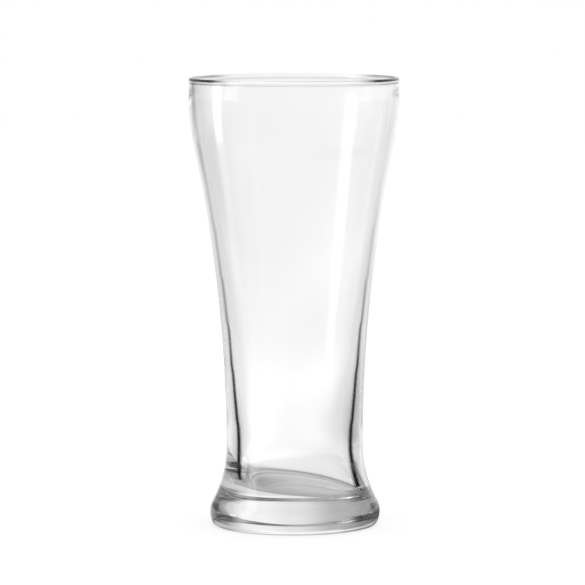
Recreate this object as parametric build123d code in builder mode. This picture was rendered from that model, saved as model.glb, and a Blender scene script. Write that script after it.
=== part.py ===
"""Pilsner glass: a flared beer glass with a heavy base. Sizes are in millimetres.

The glass stands on the XY plane with its axis on +Z. Its outside and its bore are each turned
from one outline, and both walls are reverse curves: a hollow arc that meets a convex one without
a corner. Below its waist the bore bends towards +X, and the floor of the drink leans the same way.
The glass is kept as the three sections that a glassmaker forms one after the other: the pressed
base, the blown bowl and the fire-polished rim. They meet face to face on level planes.
"""

import os
from math import asin, copysign, cos, degrees, radians, sin, tan

from build123d import *

# Outside of the glass
glass_height = 164.5  # table to the top of the rim
mouth_radius = 38.45  # widest place of the wall, a little under the rim
mouth_drop = 5.0  # that place below the neck of the rim
neck_draw = 0.15  # how far the wall draws in from there to the neck
shoulder_radius = 85.0  # convex arc that turns the flare upright
waist_radius = 25.1  # narrowest place of the outside
waist_height = 29.5

# Heavy base
foot_radius = 31.25  # widest place of the base
foot_bulge_radius = 8.0  # convex arc above the widest place
heel_width = 2.5  # rounding between the widest place and the table, across
heel_height = 5.0  # the same rounding, upwards
base_height = 8.5  # level plane where the bowl starts
punt_margin = 2.6  # flat ring that the glass stands on, between heel and punt
punt_depth = 1.4  # hollow in the underside, at its middle

# Bore
rim_wall = 1.6  # thickness of the wall at the neck of the rim
bore_lip_height = 2.0  # upright stretch of the bore under the neck
bore_shoulder_radius = 90.0  # convex arc that turns the bore upright
bore_flare = 4.5  # degrees from upright where the bore's long arc starts
bore_waist_radius = 20.45  # narrowest place of the bore
bore_waist_height = 31.0
bore_waist_arc = 90.0  # radius of the arc that turns the bore from its waist into the flare
bore_bend_radius = 60.0  # arc on which the bore bends aside below its waist
floor_web = 1.75  # least glass of the bowl under the floor of the drink
floor_tilt = 4.3  # degrees; the floor of a blown glass settles lower on one side
floor_corner_radius = 2.4  # rounding between the floor and the wall

# Rim
bead_swell = 0.25  # how far the melted bead stands proud of each face of its neck

# Places that follow from the sizes above
bead_radius = rim_wall / 2 + bead_swell
bead_height = glass_height - bead_radius
neck_height = bead_height - bead_radius
neck_radius = mouth_radius - neck_draw
bead_middle = neck_radius - rim_wall / 2
bore_mouth_radius = neck_radius - rim_wall
heel_radius = foot_radius - heel_width
punt_radius = heel_radius - punt_margin
floor_middle = base_height + floor_web + waist_radius * tan(radians(floor_tilt))
bend_angle = degrees(asin((bore_waist_height - base_height) / (bore_bend_radius - bore_waist_radius)))


def reverse_curve(narrow, wide, convex_radius, lean=0):
    """Draws a hollow arc that leaves the narrow end at a lean, and a convex arc from it to the wide end.

    The lean is in degrees from upright. The convex arc reaches the wide end upright.
    """
    way = copysign(1, wide[1] - narrow[1])
    start = Vector(*narrow)
    convex_centre = Vector(wide[0] - convex_radius, wide[1])
    outwards = Vector(cos(radians(lean)), -way * sin(radians(lean)))
    gap = start - convex_centre
    hollow_radius = (gap.dot(gap) - convex_radius**2) / (2 * (convex_radius - outwards.dot(gap)))
    between_centres = gap + outwards * hollow_radius
    join = convex_centre + between_centres.normalized() * convex_radius
    TangentArc(start, join, tangent=(sin(radians(lean)), way * cos(radians(lean))))
    TangentArc(wide, join, tangent=(0, -way))


# Outside form of the base and the bowl, from the table to the neck of the rim
with BuildPart() as outside:
    with BuildSketch(Plane.XZ):
        with BuildLine():
            heel_centre = (heel_radius, heel_height)
            widest = (foot_radius, heel_height)
            waist = (waist_radius, waist_height)
            mouth = (mouth_radius, neck_height - mouth_drop)
            neck = (neck_radius, neck_height)
            Line((0, 0), (heel_radius, 0))
            EllipticalCenterArc(heel_centre, heel_width, heel_height, start_angle=270, arc_size=90)
            reverse_curve(waist, widest, foot_bulge_radius)
            reverse_curve(waist, mouth, shoulder_radius)
            reverse_curve(neck, mouth, 2 * mouth_drop)
            Polyline(neck, (0, neck_height), (0, 0))
        make_face()
    revolve(axis=Axis.Z)

# Form of the drink: the turned bore, its bent foot and its leaning floor
with BuildPart() as bore:
    with BuildSketch(Plane.XZ):
        with BuildLine():
            bore_waist = (bore_waist_radius, bore_waist_height)
            bore_lip = (bore_mouth_radius, neck_height - bore_lip_height)
            waist_turn = RadiusArc(
                bore_waist,
                (
                    bore_waist_radius + bore_waist_arc * (1 - cos(radians(bore_flare))),
                    bore_waist_height + bore_waist_arc * sin(radians(bore_flare)),
                ),
                bore_waist_arc,
            )
            flare_start = waist_turn @ 1
            reverse_curve((flare_start.X, flare_start.Y), bore_lip, bore_shoulder_radius, bore_flare)
            Polyline(
                bore_lip,
                (bore_mouth_radius, glass_height),
                (0, glass_height),
                (0, bore_waist_height),
                bore_waist,
            )
        make_face()
    revolve(axis=Axis.Z)
    with BuildSketch(Plane.XY.offset(bore_waist_height)):
        Circle(bore_waist_radius)
    bend_axis = Axis((bore_bend_radius, 0, bore_waist_height), (0, -1, 0))
    revolve(axis=bend_axis, revolution_arc=bend_angle)
    floor_normal = (sin(radians(floor_tilt)), 0, cos(radians(floor_tilt)))
    split(bisect_by=Plane((0, 0, floor_middle), z_dir=floor_normal), keep=Keep.TOP)
    fillet(bore.faces().sort_by(Axis.Z)[0].edges(), floor_corner_radius)

# Base: the solid foot, with a shallow punt under it
with BuildPart() as base:
    add(outside.part)
    split(bisect_by=Plane.XY.offset(base_height), keep=Keep.BOTTOM)
    with BuildSketch(Plane.XZ):
        with BuildLine():
            TangentArc((0, punt_depth), (punt_radius, 0), tangent=(1, 0))
            Polyline((punt_radius, 0), (0, 0), (0, punt_depth))
        make_face()
    revolve(axis=Axis.Z, mode=Mode.SUBTRACT)

# Bowl: the flared wall with the floor of the drink
with BuildPart() as bowl:
    add(outside.part)
    split(bisect_by=Plane.XY.offset(base_height), keep=Keep.TOP)
    add(bore.part, mode=Mode.SUBTRACT)

# Rim: the melted bead, which runs into both faces of the wall
with BuildPart() as rim:
    with BuildSketch(Plane.XZ):
        with BuildLine():
            bead_side = (bead_middle + bead_radius, bead_height)
            reverse_curve(neck, bead_side, bead_radius)
            TangentArc(bead_side, (bead_middle, glass_height), tangent=(0, 1))
            mirror(about=Plane.YZ.offset(bead_middle))
            Line((bore_mouth_radius, neck_height), neck)
        make_face()
    revolve(axis=Axis.Z)

base.part.label = "base"
bowl.part.label = "bowl"
rim.part.label = "rim"

os.makedirs("parts", exist_ok=True)
export_step(base.part, "parts/base.step")
export_step(bowl.part, "parts/bowl.step")
export_step(rim.part, "parts/rim.step")

print(f"brimful capacity {bore.part.volume / 1000:.0f} ml, floor middle {floor_middle:.2f} mm up")
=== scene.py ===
"""Pilsner glass: the looks of a clear beer glass with a flared wall and a heavy base.

The glass is drawn as one half section, from the middle of its underside over the rim to the middle
of the floor of the drink, and spun about its axis. All sizes are in metres, in the frame of the
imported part.
"""

from bisect import bisect_left
from math import asin, atan2, copysign, cos, pi, radians, sin, sqrt, tan

import bmesh
import bpy
from bpy.props import FloatProperty, FloatVectorProperty, IntProperty, PointerProperty
from bpy.types import NodeSocket, Operator, Panel, PropertyGroup
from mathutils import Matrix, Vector


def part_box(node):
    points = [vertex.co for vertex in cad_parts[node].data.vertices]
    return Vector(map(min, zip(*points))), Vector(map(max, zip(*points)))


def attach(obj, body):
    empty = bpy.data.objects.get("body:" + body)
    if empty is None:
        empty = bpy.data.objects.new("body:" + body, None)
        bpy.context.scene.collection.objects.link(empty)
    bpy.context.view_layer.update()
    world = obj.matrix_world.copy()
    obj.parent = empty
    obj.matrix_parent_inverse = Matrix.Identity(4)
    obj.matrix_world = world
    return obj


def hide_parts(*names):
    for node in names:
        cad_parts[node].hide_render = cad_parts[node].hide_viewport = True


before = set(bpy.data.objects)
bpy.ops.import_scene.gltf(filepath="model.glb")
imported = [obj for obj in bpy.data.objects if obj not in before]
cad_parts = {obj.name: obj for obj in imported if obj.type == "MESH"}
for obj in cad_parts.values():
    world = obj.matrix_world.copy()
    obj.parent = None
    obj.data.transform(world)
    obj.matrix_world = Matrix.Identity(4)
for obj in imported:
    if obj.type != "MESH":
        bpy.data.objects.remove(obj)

bl_info = {
    "name": "Pilsner Glass",
    "version": (1, 0, 0),
    "blender": (4, 5, 0),
    "location": "View3D > Sidebar > Glassware",
    "description": "Models a clear pilsner glass and the white studio that it stands in",
    "category": "Object",
}

MM = 0.001
BASE_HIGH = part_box("base")[1]
BOWL_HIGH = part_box("bowl")[1]
RIM_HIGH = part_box("rim")[1]
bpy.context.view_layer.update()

# The photograph's square frame, and where the axis of the glass crosses its middle row
FRAME_SIDE = 585
AXIS_PIXEL = 294.4
SENSOR_WIDTH = 36

# The studio's floor and lamp, in metres, and how often light may bounce on its way through the glass
FLOOR_SIDE = 6
LAMP_SIDE = 1.5
LAMP_HEIGHT = 2
BOUNCES = 96

# Share of the outside that marks a place with no bore beside it
SOLID_GLASS = 4

# Painted shade of the line at the edge of the bore, by distance from the axis where the bore's edge is at 1
LINE_STOPS = (
    (0.97, 0),
    (0.986, 0.5),
    (0.995, 0.95),
    (1.01, 1),
    (1.018, 0.8),
    (1.03, 0.3),
    (1.05, 0.15),
    (1.1, 0.08),
    (1.16, 0),
)
# How much of that line shows, by height as a share of the height of the glass
LINE_REACH = ((0.27, 1), (0.35, 0.95), (0.42, 0.82), (0.5, 0.6), (0.62, 0.3), (0.78, 0.1), (1, 0.06))
# Painted shade of the bore's wall as it turns away from the eye, where the wall is thin and where it is thick
THIN_EDGE_STOPS = ((0.5, 0), (0.62, 0.05), (0.7, 0.11), (0.75, 0.22), (0.8, 0.42), (0.86, 0.67), (0.92, 1))
THICK_EDGE_STOPS = ((0.45, 0), (0.56, 0.12), (0.7, 0.33), (0.8, 0.58), (0.88, 1))
# Level rings of painted shade on the base, darker as they turn away from the eye: height and reach in
# millimetres, the turn where the shade starts and where it is full, and how dark it is
HEEL_SHADE_RINGS = (
    (1.8, 1.2, 0.12, 0.45, 0.4),
    (4.8, 0.8, 0.2, 0.36, 1),
    (7.2, 1.6, 0.54, 0.66, 0.9),
    (13, 1.7, 0.22, 0.44, 0.66),
)
# Soft edge of those rings, in millimetres
HEEL_SOFT = 0.8

# Heights between which a painted shade of the wall changes, as shares of the height of the glass
THIN_EDGE_SPAN = (0.36, 0.65)
THICK_EDGE_SPAN = (0.19, 0.36)
LINE_WIDTH_SPAN = (0.1, 0.55)
# Share of the thin wall's painted shade that is left above its span
HIGH_EDGE_SHARE = 0.42
# How much narrower the painted line at the bore's edge gets over its span
LINE_NARROWING = (0.5, 1.25)
# Stretch across which that line is drawn, where the bore's edge is at 1
LINE_SPAN = (0.9, 1.2)
# How far the line moves outwards, and where: the middle, the reach and the soft edge as shares of the height
LINE_SHIFT = 0.009
LINE_SHIFT_BAND = (0.33, 0.01, 0.11)
# Depth below the top over which the rim's painted shade fades, in millimetres
RIM_FADE = (1.05, 0.75)

# Distances from the axis, in metres, over which the floor's painted tones change as the glass shows it
# The first ends the painted shadow right under the base
UNDER_SPAN = (0.022, 0.055)
NEAR_SPAN = (0.12, 0.5)
FAR_SPAN = (0.3, 1.2)
DISTANT_SPAN = (0.5, 1)
# This one starts the painted glint, a glowing patch of floor
GLINT_SPAN = (0.35, 0.6)
# The sides of the floor are told apart from this far to -X of the axis, in metres
TURN_OFFSET = 0.04

# Turns in degrees from straight behind the glass towards +X: the middle, the reach and the soft edge
STRIP_TURN = (-107.5, 5, 8)
# Where the painted glint lies
GLINT_TURN = (-87.5, 3, 6)
# Where the painted shade on the floor's -X side, and the painted dark cards in its mirror image, lie
LEFT_DIM_TURN = (-49, 22, 8)
CARD_TURN = (80, 22, 14)


def length(name, description, default):
    """A size in metres that the panel shows in the scene's unit of length."""
    return FloatProperty(name=name, description=description, default=default, unit="LENGTH", precision=5)


def angle(name, description, degrees):
    """An angle, given in degrees and held in radians."""
    return FloatProperty(name=name, description=description, default=radians(degrees), unit="ROTATION")


def tone(name, description, default):
    """A brightness, where 1 is white."""
    return FloatProperty(name=name, description=description, default=default, min=0, subtype="FACTOR")


class OutsideSizes(PropertyGroup):
    """Outline of the outside, from the table to the rim."""

    height: length("Height", "Table to the top of the rim", RIM_HIGH.z)
    rim_radius: length("Rim radius", "Outside of the bead", RIM_HIGH.x)
    mouth_radius: length("Mouth radius", "Widest place of the wall, under the rim", BOWL_HIGH.x)
    mouth_drop: length("Mouth drop", "That place below the neck of the rim", 5 * MM)
    shoulder_radius: length("Shoulder radius", "Convex arc that turns the flare upright", 85 * MM)
    waist_radius: length("Waist radius", "Narrowest place of the outside", 25.1 * MM)
    waist_height: length("Waist height", "Height of the narrowest place", 29.5 * MM)
    foot_radius: length("Foot radius", "Widest place of the base", BASE_HIGH.x)
    foot_bulge_radius: length("Foot bulge", "Convex arc above the widest place", 8 * MM)
    heel_width: length("Heel width", "Rounding at the table, across", 2.5 * MM)
    heel_height: length("Heel height", "Rounding at the table, upwards", 5 * MM)
    punt_margin: length("Standing ring", "Flat ring between the heel and the punt", 2.6 * MM)
    punt_depth: length("Punt depth", "Hollow in the underside", 1.4 * MM)
    bead_swell: length("Bead swell", "How far the rim's bead stands proud of its neck", 0.25 * MM)


class BoreSizes(PropertyGroup):
    """Outline of the bore, from the rim to the floor of the drink."""

    rim_wall: length("Rim wall", "Thickness of the wall at the neck of the rim", 1.6 * MM)
    shoulder_radius: length("Shoulder radius", "Convex arc that turns the bore upright", 90 * MM)
    lip_height: length("Lip height", "Upright stretch of the bore under the neck", 2 * MM)
    waist_radius: length("Waist radius", "Narrowest place of the bore", 20.45 * MM)
    waist_height: length("Waist height", "Height of that place", 31 * MM)
    waist_arc: length("Waist arc", "Arc that turns the bore from its waist into the flare", 90 * MM)
    bend_radius: length("Bend radius", "Arc on which the bore bends to +X below its waist", 60 * MM)
    floor_height: length("Floor height", "Middle of the floor of the drink above the table", 12.14 * MM)
    floor_corner: length("Floor corner", "Rounding between the floor and the wall", 2.4 * MM)
    flare: angle("Flare", "Lean of the bore where its long arc starts", 4.5)
    floor_tilt: angle("Floor tilt", "Lean of the floor towards +X", 4.3)


class GlassFinish(PropertyGroup):
    """Looks of the clear glass."""

    tint: FloatVectorProperty(
        name="Tint",
        description="Colour of the clear glass",
        subtype="COLOR",
        size=3,
        default=(0.995, 0.998, 0.996),
    )
    ior: FloatProperty(name="IOR", description="Index of refraction of soda-lime glass", default=1.52)
    segments: IntProperty(name="Segments", description="Steps of the full spin", default=256, min=24)
    # The shades below are painted into the colour of the glass
    edge_shade: tone("Edge shade", "How dark the bore's wall is where it is seen edge-on", 0.36)
    foot_shade: tone("Foot shade", "The same near the foot, where the wall is thick", 0.8)
    painted_wall_line: tone("Wall line", "How dark the line is that the thick wall shows where the bore ends", 1.0)
    line_end: length("Line end", "Height above the floor of the drink at which that line stops", 5 * MM)
    rim_shade: tone("Rim shade", "How dark the top of the rim is where it is seen along its length", 0.97)
    heel_shade: tone("Heel shade", "How dark the side of the base is where it turns away from the eye", 0.8)


class StudioSettings(PropertyGroup):
    """White studio round the glass, and the camera."""

    camera_distance: length("Camera distance", "From the axis of the glass, along the table", 1.4816)
    camera_height: length("Camera height", "Lens above the table", 0.2234)
    aim_height: length("Aim height", "Point on the axis in the middle of the picture", 0.0856)
    lens: FloatProperty(name="Lens", description="Focal length, 36 mm sensor", default=249.6, unit="CAMERA")
    roll: angle("Roll", "Turn of the camera about its line of sight", -0.12)
    light_level: tone("Light level", "Even light that the studio sheds on the floor", 1.0)
    lamp_radiance: tone("Lamp radiance", "Brightness of the soft lamp overhead, which lights the floor", 2)
    # The floor's tones here, which only the glass sees, are painted light and shade
    left_tone: tone("Left tone", "Floor behind the glass on its -X side, as the glass shows it", 0.86)
    left_dim: tone("Left dim", "How much darker that side is far from the glass", 0.55)
    right_tone: tone("Right tone", "Floor on the +X side, as the glass shows it", 0.84)
    right_dim: tone("Right dim", "How much darker that side is close to the glass", 0.22)
    middle_tone: tone("Middle tone", "Floor a hand's breadth behind the glass, as the glass shows it", 0.95)
    far_tone: tone("Far tone", "Distant floor and horizon, as the glass shows them", 0.9)
    # Painted dark cards in the floor's mirror image
    mirror_tone: tone("Mirror tone", "Share of the floor that the glass mirrors", 0.25)
    # Painted glint: a patch of floor that glows where the glass mirrors it; the world holds the same glint
    glint_tone: tone("Glint tone", "Pale patch of floor that shines on the shoulder", 4)
    # Painted shadow on the floor under the base, seen only in the glass
    under_shadow_tone: tone("Under tone", "Floor right under the base, as the glass shows it", 0.55)
    near_tone: tone("Near tone", "Floor close behind the glass, as the glass shows it", 1.12)
    window_tone: tone("Window tone", "Pale window above the horizon, as the glass shows it", 0.91)
    card_tone: tone("Card tone", "Dark cards on both sides of the glass", 0.05)
    ceiling_tone: tone("Ceiling tone", "Room overhead on the -X side, as the glass shows it", 0.52)
    floor_white: tone("Floor white", "Share of the floor that stays white in the shadow", 0.75)
    strip_tone: tone("Strip tone", "Soft upright strip that shines on the back of the glass", 1.7)


def arc(centre, radius, start, end, steps):
    """Points on an arc after its start; the angles are in radians from outwards to upwards."""
    turns = [start + (end - start) * (step + 1) / steps for step in range(steps)]
    return [(centre[0] + radius * cos(turn), centre[1] + radius * sin(turn)) for turn in turns]


def reverse_curve(narrow, wide, convex_radius, steps, lean=0):
    """Two tangent arcs after the narrow end, which they leave at a lean, to the wide end, upright."""
    way = copysign(1, wide[1] - narrow[1])
    wide_centre = Vector((wide[0] - convex_radius, wide[1]))
    outwards = Vector((cos(lean), -way * sin(lean)))
    gap = Vector(narrow) - wide_centre
    hollow_radius = (gap.length_squared - convex_radius**2) / (2 * (convex_radius - outwards.dot(gap)))
    hollow_centre = Vector(narrow) + hollow_radius * outwards
    reach = hollow_centre - wide_centre
    turn = atan2(way * -reach.y, reach.x)
    first = arc(hollow_centre, hollow_radius, pi - way * lean, pi - way * turn, steps[0])
    return first + arc(wide_centre, convex_radius, -way * turn, 0, steps[1])


def underside(outside):
    """Outline of the underside as (radius, height), from the middle of the punt over the heel."""
    heel_radius = outside.foot_radius - outside.heel_width
    punt_radius = heel_radius - outside.punt_margin
    punt_arc_radius = (punt_radius**2 + outside.punt_depth**2) / (2 * outside.punt_depth)
    punt_turn = asin(punt_radius / punt_arc_radius)
    punt_centre = (0, outside.punt_depth - punt_arc_radius)
    heel = arc((0, 0), 1, -pi / 2, 0, 20)

    points = [(0, outside.punt_depth)]
    points += arc(punt_centre, punt_arc_radius, pi / 2, pi / 2 - punt_turn, 24)
    points += [(heel_radius, 0)]
    points += [(heel_radius + outside.heel_width * x, outside.heel_height * (1 + y)) for x, y in heel]
    return points


def half_section(outside, bore):
    """Outline of the glass as (radius, height), from the underside over the rim to the floor."""
    bead_radius = bore.rim_wall / 2 + outside.bead_swell
    bead_height = outside.height - bead_radius
    neck_height = bead_height - bead_radius
    neck = (outside.rim_radius - outside.bead_swell, neck_height)
    bead_middle = neck[0] - bore.rim_wall / 2
    waist = (outside.waist_radius, outside.waist_height)
    mouth = (outside.mouth_radius, neck_height - outside.mouth_drop)

    points = underside(outside)
    widest = points[-1]
    foot = reverse_curve(waist, widest, outside.foot_bulge_radius, (20, 12))
    points += [*reversed(foot[:-1]), waist]
    points += reverse_curve(waist, mouth, outside.shoulder_radius, (40, 16))
    lip = reverse_curve(neck, mouth, 2 * outside.mouth_drop, (4, 4))
    points += [*reversed(lip[:-1]), neck]
    bead_side = reverse_curve(neck, (bead_middle + bead_radius, bead_height), bead_radius, (6, 8))
    points += bead_side
    points += arc((bead_middle, bead_height), bead_radius, 0, pi, 20)
    points += [(2 * bead_middle - radius, height) for radius, height in reversed(bead_side[:-1])]
    points += [(bead_middle - bore.rim_wall / 2, neck_height)]
    points += bore_section(bore, points[-1])
    return points


def bore_section(bore, neck):
    """Outline of the bore as (radius, height), from the neck of the rim to the middle of the floor."""
    lip = (neck[0], neck[1] - bore.lip_height)
    waist_centre = (bore.waist_radius + bore.waist_arc, bore.waist_height)
    waist = arc(waist_centre, bore.waist_arc, pi, pi - bore.flare, 6)
    wall = waist + reverse_curve(waist[-1], lip, bore.shoulder_radius, (44, 16), bore.flare)
    corner_height = bore.floor_height + bore.floor_corner
    corner_drop = bore.waist_height - corner_height
    flat_radius = bore.waist_radius - bore.floor_corner
    foot_rings, floor_rings = 16, 8

    points = list(reversed(wall))
    drops = [corner_drop * ring / foot_rings for ring in range(foot_rings)]
    points += [(bore.waist_radius, bore.waist_height - drop) for drop in drops]
    points += [(bore.waist_radius, corner_height)]
    points += arc((flat_radius, corner_height), bore.floor_corner, 0, -pi / 2, 14)
    points += [(flat_radius * ring / floor_rings, bore.floor_height) for ring in reversed(range(floor_rings))]
    return points


def bend_aside(bore, across, height):
    """Where a point of the bore lies along X once the bore is bent below its waist."""
    drop = max(0, bore.waist_height - height)
    return bore.bend_radius - sqrt((bore.bend_radius - across) ** 2 - drop**2)


def start_edit(name, place):
    """Adds a small plane, names it and leaves it in edit mode as a single point at that place."""
    bpy.ops.object.select_all(action="DESELECT")
    bpy.ops.mesh.primitive_plane_add(size=1 * MM, location=(0, 0, 0))
    piece = bpy.context.object
    piece.name = piece.data.name = name
    bpy.ops.object.mode_set(mode="EDIT")
    bpy.ops.mesh.select_all(action="SELECT")
    bpy.ops.mesh.merge(type="CENTER")
    bpy.ops.transform.translate(value=place)
    return piece


def feed(tree, socket, source):
    """Links a socket to another node's output, or sets its value."""
    if isinstance(source, NodeSocket):
        tree.links.new(source, socket)
    else:
        socket.default_value = source


def combine(tree, operation, first, second):
    """Two values joined by one step of arithmetic."""
    node = tree.nodes.new("ShaderNodeMath")
    node.operation = operation
    feed(tree, node.inputs[0], first)
    feed(tree, node.inputs[1], second)
    return node.outputs["Value"]


def join_vectors(tree, operation, first, second=(0, 0, 0)):
    """A node that joins two vectors by one step of arithmetic."""
    node = tree.nodes.new("ShaderNodeVectorMath")
    node.operation = operation
    feed(tree, node.inputs[0], first)
    feed(tree, node.inputs[1], second)
    return node


def fade(tree, value, start, end, first, last):
    """A value that goes smoothly from first to last between two places."""
    node = tree.nodes.new("ShaderNodeMapRange")
    node.interpolation_type = "SMOOTHSTEP"
    names = ("Value", "From Min", "From Max", "To Min", "To Max")
    for name, source in zip(names, (value, start, end, first, last)):
        feed(tree, node.inputs[name], source)
    return node.outputs["Result"]


def spread(tree, value, start, end):
    """A value that goes evenly from 0 at start to 1 at end."""
    node = tree.nodes.new("ShaderNodeMapRange")
    for name, source in zip(("Value", "From Min", "From Max"), (value, start, end)):
        feed(tree, node.inputs[name], source)
    return node.outputs["Result"]


def band(tree, value, middle, reach, soft):
    """A value that is 1 within reach of the middle and fades to 0 beyond it."""
    away = combine(tree, "ABSOLUTE", combine(tree, "SUBTRACT", value, middle), 0)
    return fade(tree, away, reach, reach + soft, 1, 0)


def choose(tree, share, first, second):
    """The first value where share is 0 and the second where it is 1."""
    node = tree.nodes.new("ShaderNodeMix")
    for socket, source in zip((node.inputs[0], node.inputs[2], node.inputs[3]), (share, first, second)):
        feed(tree, socket, source)
    return node.outputs[0]


def tone_ramp(tree, value, stops):
    """A grey that passes through the given tones at the given places from 0 to 1."""
    node = tree.nodes.new("ShaderNodeValToRGB")
    node.color_ramp.interpolation = "EASE"
    elements = node.color_ramp.elements
    while len(elements) < len(stops):
        elements.new(1)
    for element, (place, grey) in zip(elements, stops):
        element.position = place
        element.color = (grey, grey, grey, 1)
    feed(tree, node.inputs["Fac"], value)
    return node.outputs["Color"]


def mesh_value(tree, name):
    """A value that the mesh holds at each of its points."""
    node = tree.nodes.new("ShaderNodeAttribute")
    node.attribute_name = name
    return node.outputs["Fac"]


def facing_away(tree, direction=None):
    """How far the surface turns away from the eye, from 0 to 1, or a direction in place of its normal."""
    node = tree.nodes.new("ShaderNodeLayerWeight")
    node.inputs["Blend"].default_value = 0.5
    if direction is not None:
        feed(tree, node.inputs["Normal"], direction)
    return node.outputs["Facing"]


def edge_shade(tree, finish, share, facing):
    """Painted shade on the wall of the bore where it is seen edge-on, by its share of the height."""
    thin = fade(tree, share, *THIN_EDGE_SPAN, finish.edge_shade, HIGH_EDGE_SHARE * finish.edge_shade)
    thin = combine(tree, "MULTIPLY", thin, tone_ramp(tree, facing, THIN_EDGE_STOPS))
    thick = fade(tree, share, *THICK_EDGE_SPAN, finish.foot_shade, 0)
    thick = combine(tree, "MULTIPLY", thick, tone_ramp(tree, facing, THICK_EDGE_STOPS))
    return combine(tree, "MULTIPLY", combine(tree, "MAXIMUM", thin, thick), mesh_value(tree, "bore_side"))


def line_shade(tree, finish, share, facing):
    """Painted shade for the line that the thick wall shows where the bore ends, by its share of the height.
    """
    cosine = combine(tree, "SUBTRACT", 1, facing)
    sine = combine(tree, "SQRT", combine(tree, "SUBTRACT", 1, combine(tree, "POWER", cosine, 2)), 0)
    beside = combine(tree, "SUBTRACT", combine(tree, "DIVIDE", sine, mesh_value(tree, "bore_share")), 1)
    shift = combine(tree, "MULTIPLY", band(tree, share, *LINE_SHIFT_BAND), LINE_SHIFT)
    narrow = fade(tree, share, *LINE_WIDTH_SPAN, *LINE_NARROWING)
    beside = combine(tree, "MULTIPLY", combine(tree, "SUBTRACT", beside, shift), narrow)
    first, last = LINE_SPAN
    beside = spread(tree, beside, first - 1, last - 1)
    line = tone_ramp(tree, beside, [((away - first) / (last - first), dark) for away, dark in LINE_STOPS])
    line = combine(tree, "MULTIPLY", line, tone_ramp(tree, share, LINE_REACH))
    return combine(tree, "MULTIPLY", line, finish.painted_wall_line)


def ends_shade(tree, finish, height, place, rise):
    """Painted shade on the rim and on the base's rings where they run away from the eye.

    It is full when the glass is seen from the side and fades as it is seen from above.
    """
    flat = join_vectors(tree, "MULTIPLY", place.outputs["Object"], (1, 1, 0))
    outwards = join_vectors(tree, "NORMALIZE", flat.outputs["Vector"]).outputs["Vector"]
    outer = join_vectors(tree, "DOT_PRODUCT", place.outputs["Normal"], outwards).outputs["Value"]
    along = facing_away(tree, outwards)
    lowest, highest = (height - depth * MM for depth in RIM_FADE)
    rim = fade(tree, rise, lowest, highest, 0, finish.rim_shade)
    rim = combine(tree, "MULTIPLY", rim, fade(tree, along, 0.18, 0.42, 0, 1))
    rim = combine(tree, "MULTIPLY", rim, fade(tree, outer, -0.4, 0, 0.5, 1))

    heel = 0
    for middle, reach, start, end, grey in HEEL_SHADE_RINGS:
        ring = band(tree, rise, middle * MM, reach * MM, HEEL_SOFT * MM)
        side = fade(tree, along, start, end, 0, grey * finish.heel_shade)
        heel = combine(tree, "MAXIMUM", heel, combine(tree, "MULTIPLY", ring, side))
    heel = combine(tree, "MULTIPLY", heel, fade(tree, outer, 0, 0.3, 0, 1))

    upwards = tree.nodes.new("ShaderNodeCombineXYZ")
    upwards.inputs["Z"].default_value = 1
    level = fade(tree, facing_away(tree, upwards.outputs["Vector"]), 0.25, 0.65, 0.3, 1)
    return combine(tree, "MULTIPLY", combine(tree, "MAXIMUM", rim, heel), level)


def clear_glass(finish, height):
    """Clear soda-lime glass, with painted shade in its colour where the bore, rim and base turn away from the
    eye.
    """
    material = bpy.data.materials.new("clear_glass")
    material.use_nodes = True
    tree = material.node_tree
    shader = tree.nodes["Principled BSDF"]
    shader.inputs["Transmission Weight"].default_value = 1
    shader.inputs["Roughness"].default_value = 0
    shader.inputs["IOR"].default_value = finish.ior

    place = tree.nodes.new("ShaderNodeTexCoord")
    axes = tree.nodes.new("ShaderNodeSeparateXYZ")
    feed(tree, axes.inputs[0], place.outputs["Object"])
    rise = axes.outputs["Z"]
    share = spread(tree, rise, 0, height)
    facing = facing_away(tree)
    edge = edge_shade(tree, finish, share, facing)
    line = line_shade(tree, finish, share, facing)
    ends = ends_shade(tree, finish, height, place, rise)
    # Painted shade that darkens the colour of the glass
    dark = combine(tree, "MAXIMUM", combine(tree, "MAXIMUM", edge, line), ends)
    clear = combine(tree, "SUBTRACT", 1, dark)
    mix = tree.nodes.new("ShaderNodeMix")
    mix.data_type = "RGBA"
    feed(tree, mix.inputs["Factor"], combine(tree, "POWER", clear, 2))
    feed(tree, mix.inputs[6], (0, 0, 0, 1))
    feed(tree, mix.inputs[7], (*finish.tint, 1))
    feed(tree, shader.inputs["Base Color"], mix.outputs[2])
    return material


def turn_and_rise(tree, direction):
    """A direction's turn from straight behind the glass towards +X, in radians, and its rise."""
    axes = tree.nodes.new("ShaderNodeSeparateXYZ")
    feed(tree, axes.inputs[0], direction)
    return combine(tree, "ARCTAN2", axes.outputs["X"], axes.outputs["Y"]), axes.outputs["Z"]


def turn_band(tree, turn, degrees):
    """A value that is 1 in a band of turns, given by its middle, its reach and its soft edge in degrees."""
    return band(tree, turn, *(radians(value) for value in degrees))


def turn_fade(tree, turn, start, end, first, last):
    """A value that goes smoothly from first to last between two turns in degrees."""
    return fade(tree, turn, radians(start), radians(end), first, last)


def turn_ramp(tree, turn, stops):
    """A grey that passes through the given tones at the given turns in degrees, all round."""
    shares = [((degrees + 180) / 360, grey) for degrees, grey in stops]
    return tone_ramp(tree, spread(tree, turn, -pi, pi), shares)


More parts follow.
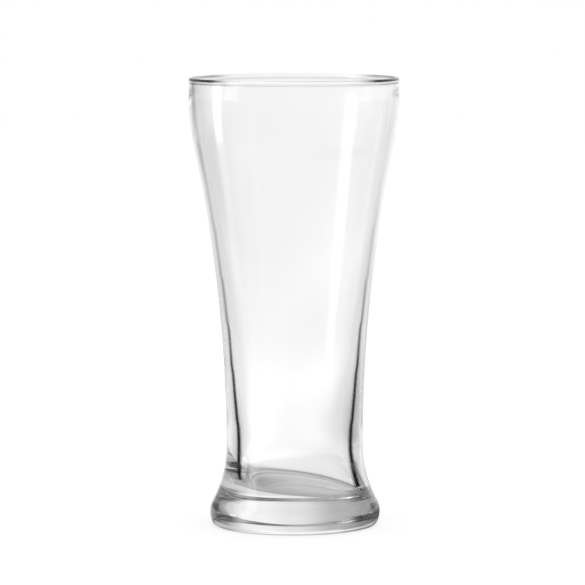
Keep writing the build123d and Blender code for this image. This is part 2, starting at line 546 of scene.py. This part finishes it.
def floor_tone(tree, turn, far, distant, studio):
    """Brightness of the floor as the glass shows it, by its side of the glass: painted light and shade on the
    floor, and the world's tone below the horizon.

    Far and distant are 0 near the glass. The first is 1 past the dim stretch on the -X side, and the
    second is 1 where both sides are brighter than straight behind the glass.
    """
    stops = (
        (-180, 1.0),
        (-90, studio.left_tone),
        (-9, studio.left_tone),
        (-7, studio.left_tone + 0.04),
        (-4, 1.01),
        (0, 1.0),
        (6, 0.99),
        (11, 1.03),
        (15, 1.02),
        (24, studio.right_tone),
        (90, studio.right_tone),
        (180, 1.0),
    )
    dim = combine(tree, "MULTIPLY", turn_band(tree, turn, LEFT_DIM_TURN), far)
    dim = combine(tree, "MULTIPLY", dim, studio.left_dim)
    grey = combine(tree, "MULTIPLY", turn_ramp(tree, turn, stops), combine(tree, "SUBTRACT", 1, dim))
    lift = combine(tree, "ADD", turn_fade(tree, turn, 1, 7, 0, 0.14), turn_fade(tree, turn, -5, -1, 0.08, 0))
    lift = combine(tree, "ADD", combine(tree, "MULTIPLY", lift, distant), 1)
    return combine(tree, "MULTIPLY", grey, lift)


def wall_tone(tree, turn, studio):
    """Brightness of the room above the horizon: a pale window behind the glass, and dark cards beside it."""
    pale, dark = studio.window_tone, studio.card_tone
    stops = (
        (-180, 0.93),
        (-130, 0.85),
        (-92, 0.4),
        (-74, dark),
        (-58, 0.18),
        (-46, 0.32),
        (-20, 0.45),
        (0, 0.78),
        (15, pale),
        (27, pale),
        (36, 0.7),
        (46, 0.33),
        (58, dark),
        (76, dark),
        (100, 0.5),
        (130, 0.85),
        (180, 0.93),
    )
    return turn_ramp(tree, turn, stops)


def light_path(tree):
    """Three values: 1 where the camera looks, 1 where the glass shows a place, and 1 where it mirrors it."""
    path = tree.nodes.new("ShaderNodeLightPath")
    through = path.outputs["Is Transmission Ray"]
    glass = combine(tree, "MAXIMUM", path.outputs["Is Glossy Ray"], through)
    return path.outputs["Is Camera Ray"], glass, combine(tree, "SUBTRACT", glass, through)


def close_dim(tree, turn, distance, studio):
    """Painted shade: how much darker the floor is on both sides close to the glass, as the glass shows it."""
    dim = turn_fade(tree, turn, 2, 10, 0, 0.14)
    dim = combine(tree, "ADD", dim, turn_fade(tree, turn, 20, 55, 0, studio.right_dim))
    dim = combine(tree, "ADD", dim, turn_fade(tree, turn, -24, -13, 0.1, 0))
    dim = combine(tree, "MULTIPLY", dim, fade(tree, distance, 0.18, 0.34, 1, 0))
    return combine(tree, "MULTIPLY", dim, fade(tree, distance, 0.09, 0.17, 0.4, 1))


def white_floor(studio):
    """White paint. The camera sees it white but for the shadow, and the glass sees painted light and shade on
    it.
    """
    paint = bpy.data.materials.new("white_floor")
    paint.use_nodes = True
    paint.cycles.emission_sampling = "NONE"
    tree = paint.node_tree
    shader = tree.nodes["Principled BSDF"]
    shader.inputs["Base Color"].default_value = (0.96, 0.96, 0.96, 1)
    shader.inputs["Roughness"].default_value = 0.8
    shader.inputs["Specular IOR Level"].default_value = 0
    camera, glass, mirrored = light_path(tree)

    place = tree.nodes.new("ShaderNodeTexCoord").outputs["Object"]
    distance = join_vectors(tree, "LENGTH", place).outputs["Value"]
    # Painted shadow right under the base
    near = fade(tree, distance, *UNDER_SPAN, studio.under_shadow_tone, studio.near_tone)
    middle = fade(tree, distance, *NEAR_SPAN, 1, studio.middle_tone / studio.near_tone)
    far = fade(tree, distance, *FAR_SPAN, 1, studio.far_tone / studio.middle_tone)
    shown = combine(tree, "MULTIPLY", combine(tree, "MULTIPLY", near, middle), far)

    # Painted darker and lighter sides of the floor, as the glass sees it
    moved = join_vectors(tree, "ADD", place, (TURN_OFFSET, 0, 0))
    turn, _ = turn_and_rise(tree, moved.outputs["Vector"])
    away = fade(tree, distance, 0.15, 0.5, 0, 0.4)
    away = combine(tree, "ADD", away, fade(tree, distance, 0.7, 1.4, 0, 0.6))
    side = floor_tone(tree, turn, away, fade(tree, distance, *DISTANT_SPAN, 0, 1), studio)
    dim = combine(tree, "SUBTRACT", 1, close_dim(tree, turn, distance, studio))
    shown = combine(tree, "MULTIPLY", shown, combine(tree, "MULTIPLY", side, dim))
    # Painted glint: a patch of floor that glows only in the glass's mirror image
    glint = fade(tree, distance, *GLINT_SPAN, 0, studio.glint_tone)
    glint = combine(tree, "MULTIPLY", glint, turn_band(tree, turn, GLINT_TURN))
    # Painted dark cards in the floor's mirror image
    cards = turn_band(tree, combine(tree, "ABSOLUTE", turn, 0), CARD_TURN)
    dimmed = choose(tree, cards, shown, combine(tree, "MULTIPLY", shown, studio.mirror_tone))
    shown = choose(tree, mirrored, shown, combine(tree, "ADD", dimmed, glint))

    glow = tree.nodes.new("ShaderNodeEmission")
    feed(tree, glow.inputs["Strength"], choose(tree, camera, shown, 1))
    mixed = tree.nodes.new("ShaderNodeMixShader")
    feed(tree, mixed.inputs[0], choose(tree, camera, glass, studio.floor_white))
    feed(tree, mixed.inputs[1], shader.outputs[0])
    feed(tree, mixed.inputs[2], glow.outputs[0])
    feed(tree, tree.nodes["Material Output"].inputs["Surface"], mixed.outputs[0])
    return paint


def studio_world(studio):
    """White to the camera, the studio's tones in the glass, and a plain even light on the floor."""
    world = bpy.data.worlds.new("studio")
    world.use_nodes = True
    tree = world.node_tree
    back = tree.nodes["Background"]
    back.inputs["Color"].default_value = (1, 1, 1, 1)
    camera, glass, mirrored = light_path(tree)
    direction = tree.nodes.new("ShaderNodeTexCoord").outputs["Generated"]
    turn, rise = turn_and_rise(tree, direction)
    low = combine(tree, "MULTIPLY", floor_tone(tree, turn, 1, 1, studio), studio.far_tone)
    wall = combine(tree, "MULTIPLY", wall_tone(tree, turn, studio), fade(tree, rise, 0.42, 0.58, 1, 0.62))
    axes = tree.nodes.new("ShaderNodeSeparateXYZ")
    feed(tree, axes.inputs[0], direction)
    ceiling = fade(tree, axes.outputs["X"], -0.3, 0.6, studio.ceiling_tone, studio.card_tone)
    ceiling = combine(tree, "MULTIPLY", ceiling, fade(tree, axes.outputs["Y"], -0.5, -0.1, 0.2, 1))
    high = choose(tree, fade(tree, rise, 0.66, 0.82, 0, 1), wall, ceiling)
    strip = combine(tree, "MULTIPLY", turn_band(tree, turn, STRIP_TURN), studio.strip_tone)
    strip = combine(tree, "MULTIPLY", strip, band(tree, rise, 0.35, 0.3, 0.15))
    glint = combine(tree, "MULTIPLY", turn_band(tree, turn, GLINT_TURN), studio.glint_tone)
    glint = combine(tree, "MULTIPLY", glint, band(tree, rise, 0, 0.1, 0.1))
    glint = combine(tree, "MULTIPLY", glint, mirrored)
    shown = combine(tree, "ADD", choose(tree, fade(tree, rise, 0.02, 0.1, 0, 1), low, high), strip)
    shown = combine(tree, "ADD", shown, glint)
    lit = choose(tree, glass, studio.light_level, shown)
    feed(tree, back.inputs["Strength"], choose(tree, camera, lit, 1))
    return world


class GLASSWARE_OT_glass(Operator):
    """Draws the half section of the glass, spins it and settles the floor of the drink"""

    bl_idname = "glassware.glass"
    bl_label = "Blow Glass"

    def execute(self, context):
        scene = context.scene
        points = half_section(scene.glass_outside, scene.glass_bore)
        glass = start_edit("glass", (points[0][0], 0, points[0][1]))
        for before, after in zip(points, points[1:]):
            step = (after[0] - before[0], 0, after[1] - before[1])
            bpy.ops.mesh.extrude_vertices_move(TRANSFORM_OT_translate={"value": step})
        bpy.ops.mesh.select_all(action="SELECT")
        bpy.ops.mesh.spin(steps=scene.glass_finish.segments, angle=2 * pi, center=(0, 0, 0), axis=(0, 0, 1))
        bpy.ops.mesh.select_all(action="SELECT")
        bpy.ops.mesh.remove_doubles(threshold=0.001 * MM)
        bpy.ops.mesh.normals_make_consistent(inside=False)
        self.settle_floor(glass, scene.glass_bore)
        bpy.ops.object.mode_set(mode="OBJECT")
        bpy.ops.object.shade_smooth()
        self.mark_wall(glass, points, scene.glass_bore, scene.glass_finish.line_end)
        glass.data.materials.append(clear_glass(scene.glass_finish, scene.glass_outside.height))
        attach(glass, "root")
        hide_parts("base", "bowl", "rim")
        return {"FINISHED"}

    def settle_floor(self, glass, bore):
        """Bends the foot of the bore towards +X and leans the floor of the drink the same way."""
        slack = 0.1 * MM
        corner_height = bore.floor_height + bore.floor_corner
        mesh = bmesh.from_edit_mesh(glass.data)
        for vertex in mesh.verts:
            radius, height = vertex.co.xy.length, vertex.co.z
            inside = radius < bore.waist_radius + slack
            if inside and bore.floor_height - slack < height < bore.waist_height:
                share = min(1, (bore.waist_height - height) / (bore.waist_height - corner_height))
                lean = share * tan(bore.floor_tilt)
                vertex.co.z -= lean * bend_aside(bore, vertex.co.x, height)
                vertex.co.x = bend_aside(bore, vertex.co.x, vertex.co.z)
        bmesh.update_edit_mesh(glass.data)

    def mark_wall(self, glass, points, bore, line_end):
        """Marks the bore by how it faces the axis, and the outside by the bore's share of its width."""
        highest = max(range(len(points)), key=lambda index: points[index][1])
        wall = [(height, radius) for radius, height in reversed(points[highest:])]
        # These two marks steer the painted shade in the colour of the glass
        side = glass.data.attributes.new("bore_side", "FLOAT", "POINT")
        share = glass.data.attributes.new("bore_share", "FLOAT", "POINT")
        for index, vertex in enumerate(glass.data.vertices):
            outwards = Vector((vertex.co.x, vertex.co.y, 0))
            facing = vertex.normal.dot(outwards.normalized())
            side.data[index].value = max(0, -facing)
            lowest = bore.floor_height + line_end - vertex.co.x * tan(bore.floor_tilt)
            above = bisect_left(wall, (vertex.co.z, 0))
            if facing < 0.5 or vertex.co.z < lowest or above == len(wall):
                share.data[index].value = SOLID_GLASS
            else:
                edge = outwards.normalized() * wall[above][1]
                edge.x = bend_aside(bore, edge.x, vertex.co.z)
                share.data[index].value = edge.length / outwards.length


class GLASSWARE_OT_stage(Operator):
    """Lays the white floor, lights it and sets the camera where the photograph was taken from"""

    bl_idname = "glassware.stage"
    bl_label = "Set Stage"

    def execute(self, context):
        scene = context.scene
        studio = scene.glass_studio
        bpy.ops.object.select_all(action="DESELECT")
        bpy.ops.mesh.primitive_plane_add(size=FLOOR_SIDE, location=(0, 0, 0))
        floor = context.object
        floor.name = "floor"
        floor.data.materials.append(white_floor(studio))
        scene.world = studio_world(studio)
        self.add_lamp(studio.lamp_radiance)
        self.set_camera(scene, studio)
        scene.view_settings.view_transform = "Standard"
        scene.cycles.max_bounces = BOUNCES
        scene.cycles.glossy_bounces = BOUNCES
        scene.cycles.transmission_bounces = BOUNCES
        return {"FINISHED"}

    def add_lamp(self, radiance):
        """A soft square lamp overhead that lights the floor and isn't seen in the glass."""
        bpy.ops.object.light_add(type="AREA", location=(0, 0, LAMP_HEIGHT))
        lamp = bpy.context.object
        lamp.name = "lamp"
        lamp.data.shape = "SQUARE"
        lamp.data.size = LAMP_SIDE
        lamp.data.energy = radiance * pi * LAMP_SIDE**2
        lamp.visible_camera = False
        lamp.visible_glossy = False
        lamp.visible_transmission = False

    def set_camera(self, scene, studio):
        """Points the camera at the axis, and moves it aside until the axis stands on its own pixel."""
        pixel = studio.camera_distance * SENSOR_WIDTH / studio.lens / FRAME_SIDE
        aside = (FRAME_SIDE / 2 - AXIS_PIXEL) * pixel
        bpy.ops.object.camera_add(location=(aside, -studio.camera_distance, studio.camera_height))
        camera = bpy.context.object
        camera.name = "camera"
        camera.data.lens = studio.lens
        camera.data.sensor_width = SENSOR_WIDTH
        drop = atan2(studio.camera_height - studio.aim_height, studio.camera_distance)
        camera.rotation_euler = (pi / 2 - drop, 0, 0)
        camera.rotation_euler.rotate_axis("Z", studio.roll)
        scene.camera = camera


class GLASSWARE_PT_panel(Panel):
    """Sizes and operators of the glass"""

    bl_idname = "GLASSWARE_PT_panel"
    bl_label = "Pilsner Glass"
    bl_space_type = "VIEW_3D"
    bl_region_type = "UI"
    bl_category = "Glassware"

    def draw(self, context):
        for group, name in GROUPS.items():
            box = self.layout.box()
            for value in group.__annotations__:
                box.prop(getattr(context.scene, name), value)
        for operator in OPERATORS:
            self.layout.operator(operator.bl_idname)


GROUPS = {
    OutsideSizes: "glass_outside",
    BoreSizes: "glass_bore",
    GlassFinish: "glass_finish",
    StudioSettings: "glass_studio",
}
OPERATORS = (GLASSWARE_OT_glass, GLASSWARE_OT_stage)


def register():
    for cls in (*GROUPS, *OPERATORS, GLASSWARE_PT_panel):
        bpy.utils.register_class(cls)
    for group, name in GROUPS.items():
        setattr(bpy.types.Scene, name, PointerProperty(type=group))


def unregister():
    for name in GROUPS.values():
        delattr(bpy.types.Scene, name)
    for cls in reversed((*GROUPS, *OPERATORS, GLASSWARE_PT_panel)):
        bpy.utils.unregister_class(cls)


def main():
    register()
    bpy.ops.glassware.glass()
    bpy.ops.glassware.stage()


if __name__ == "__main__":
    main()
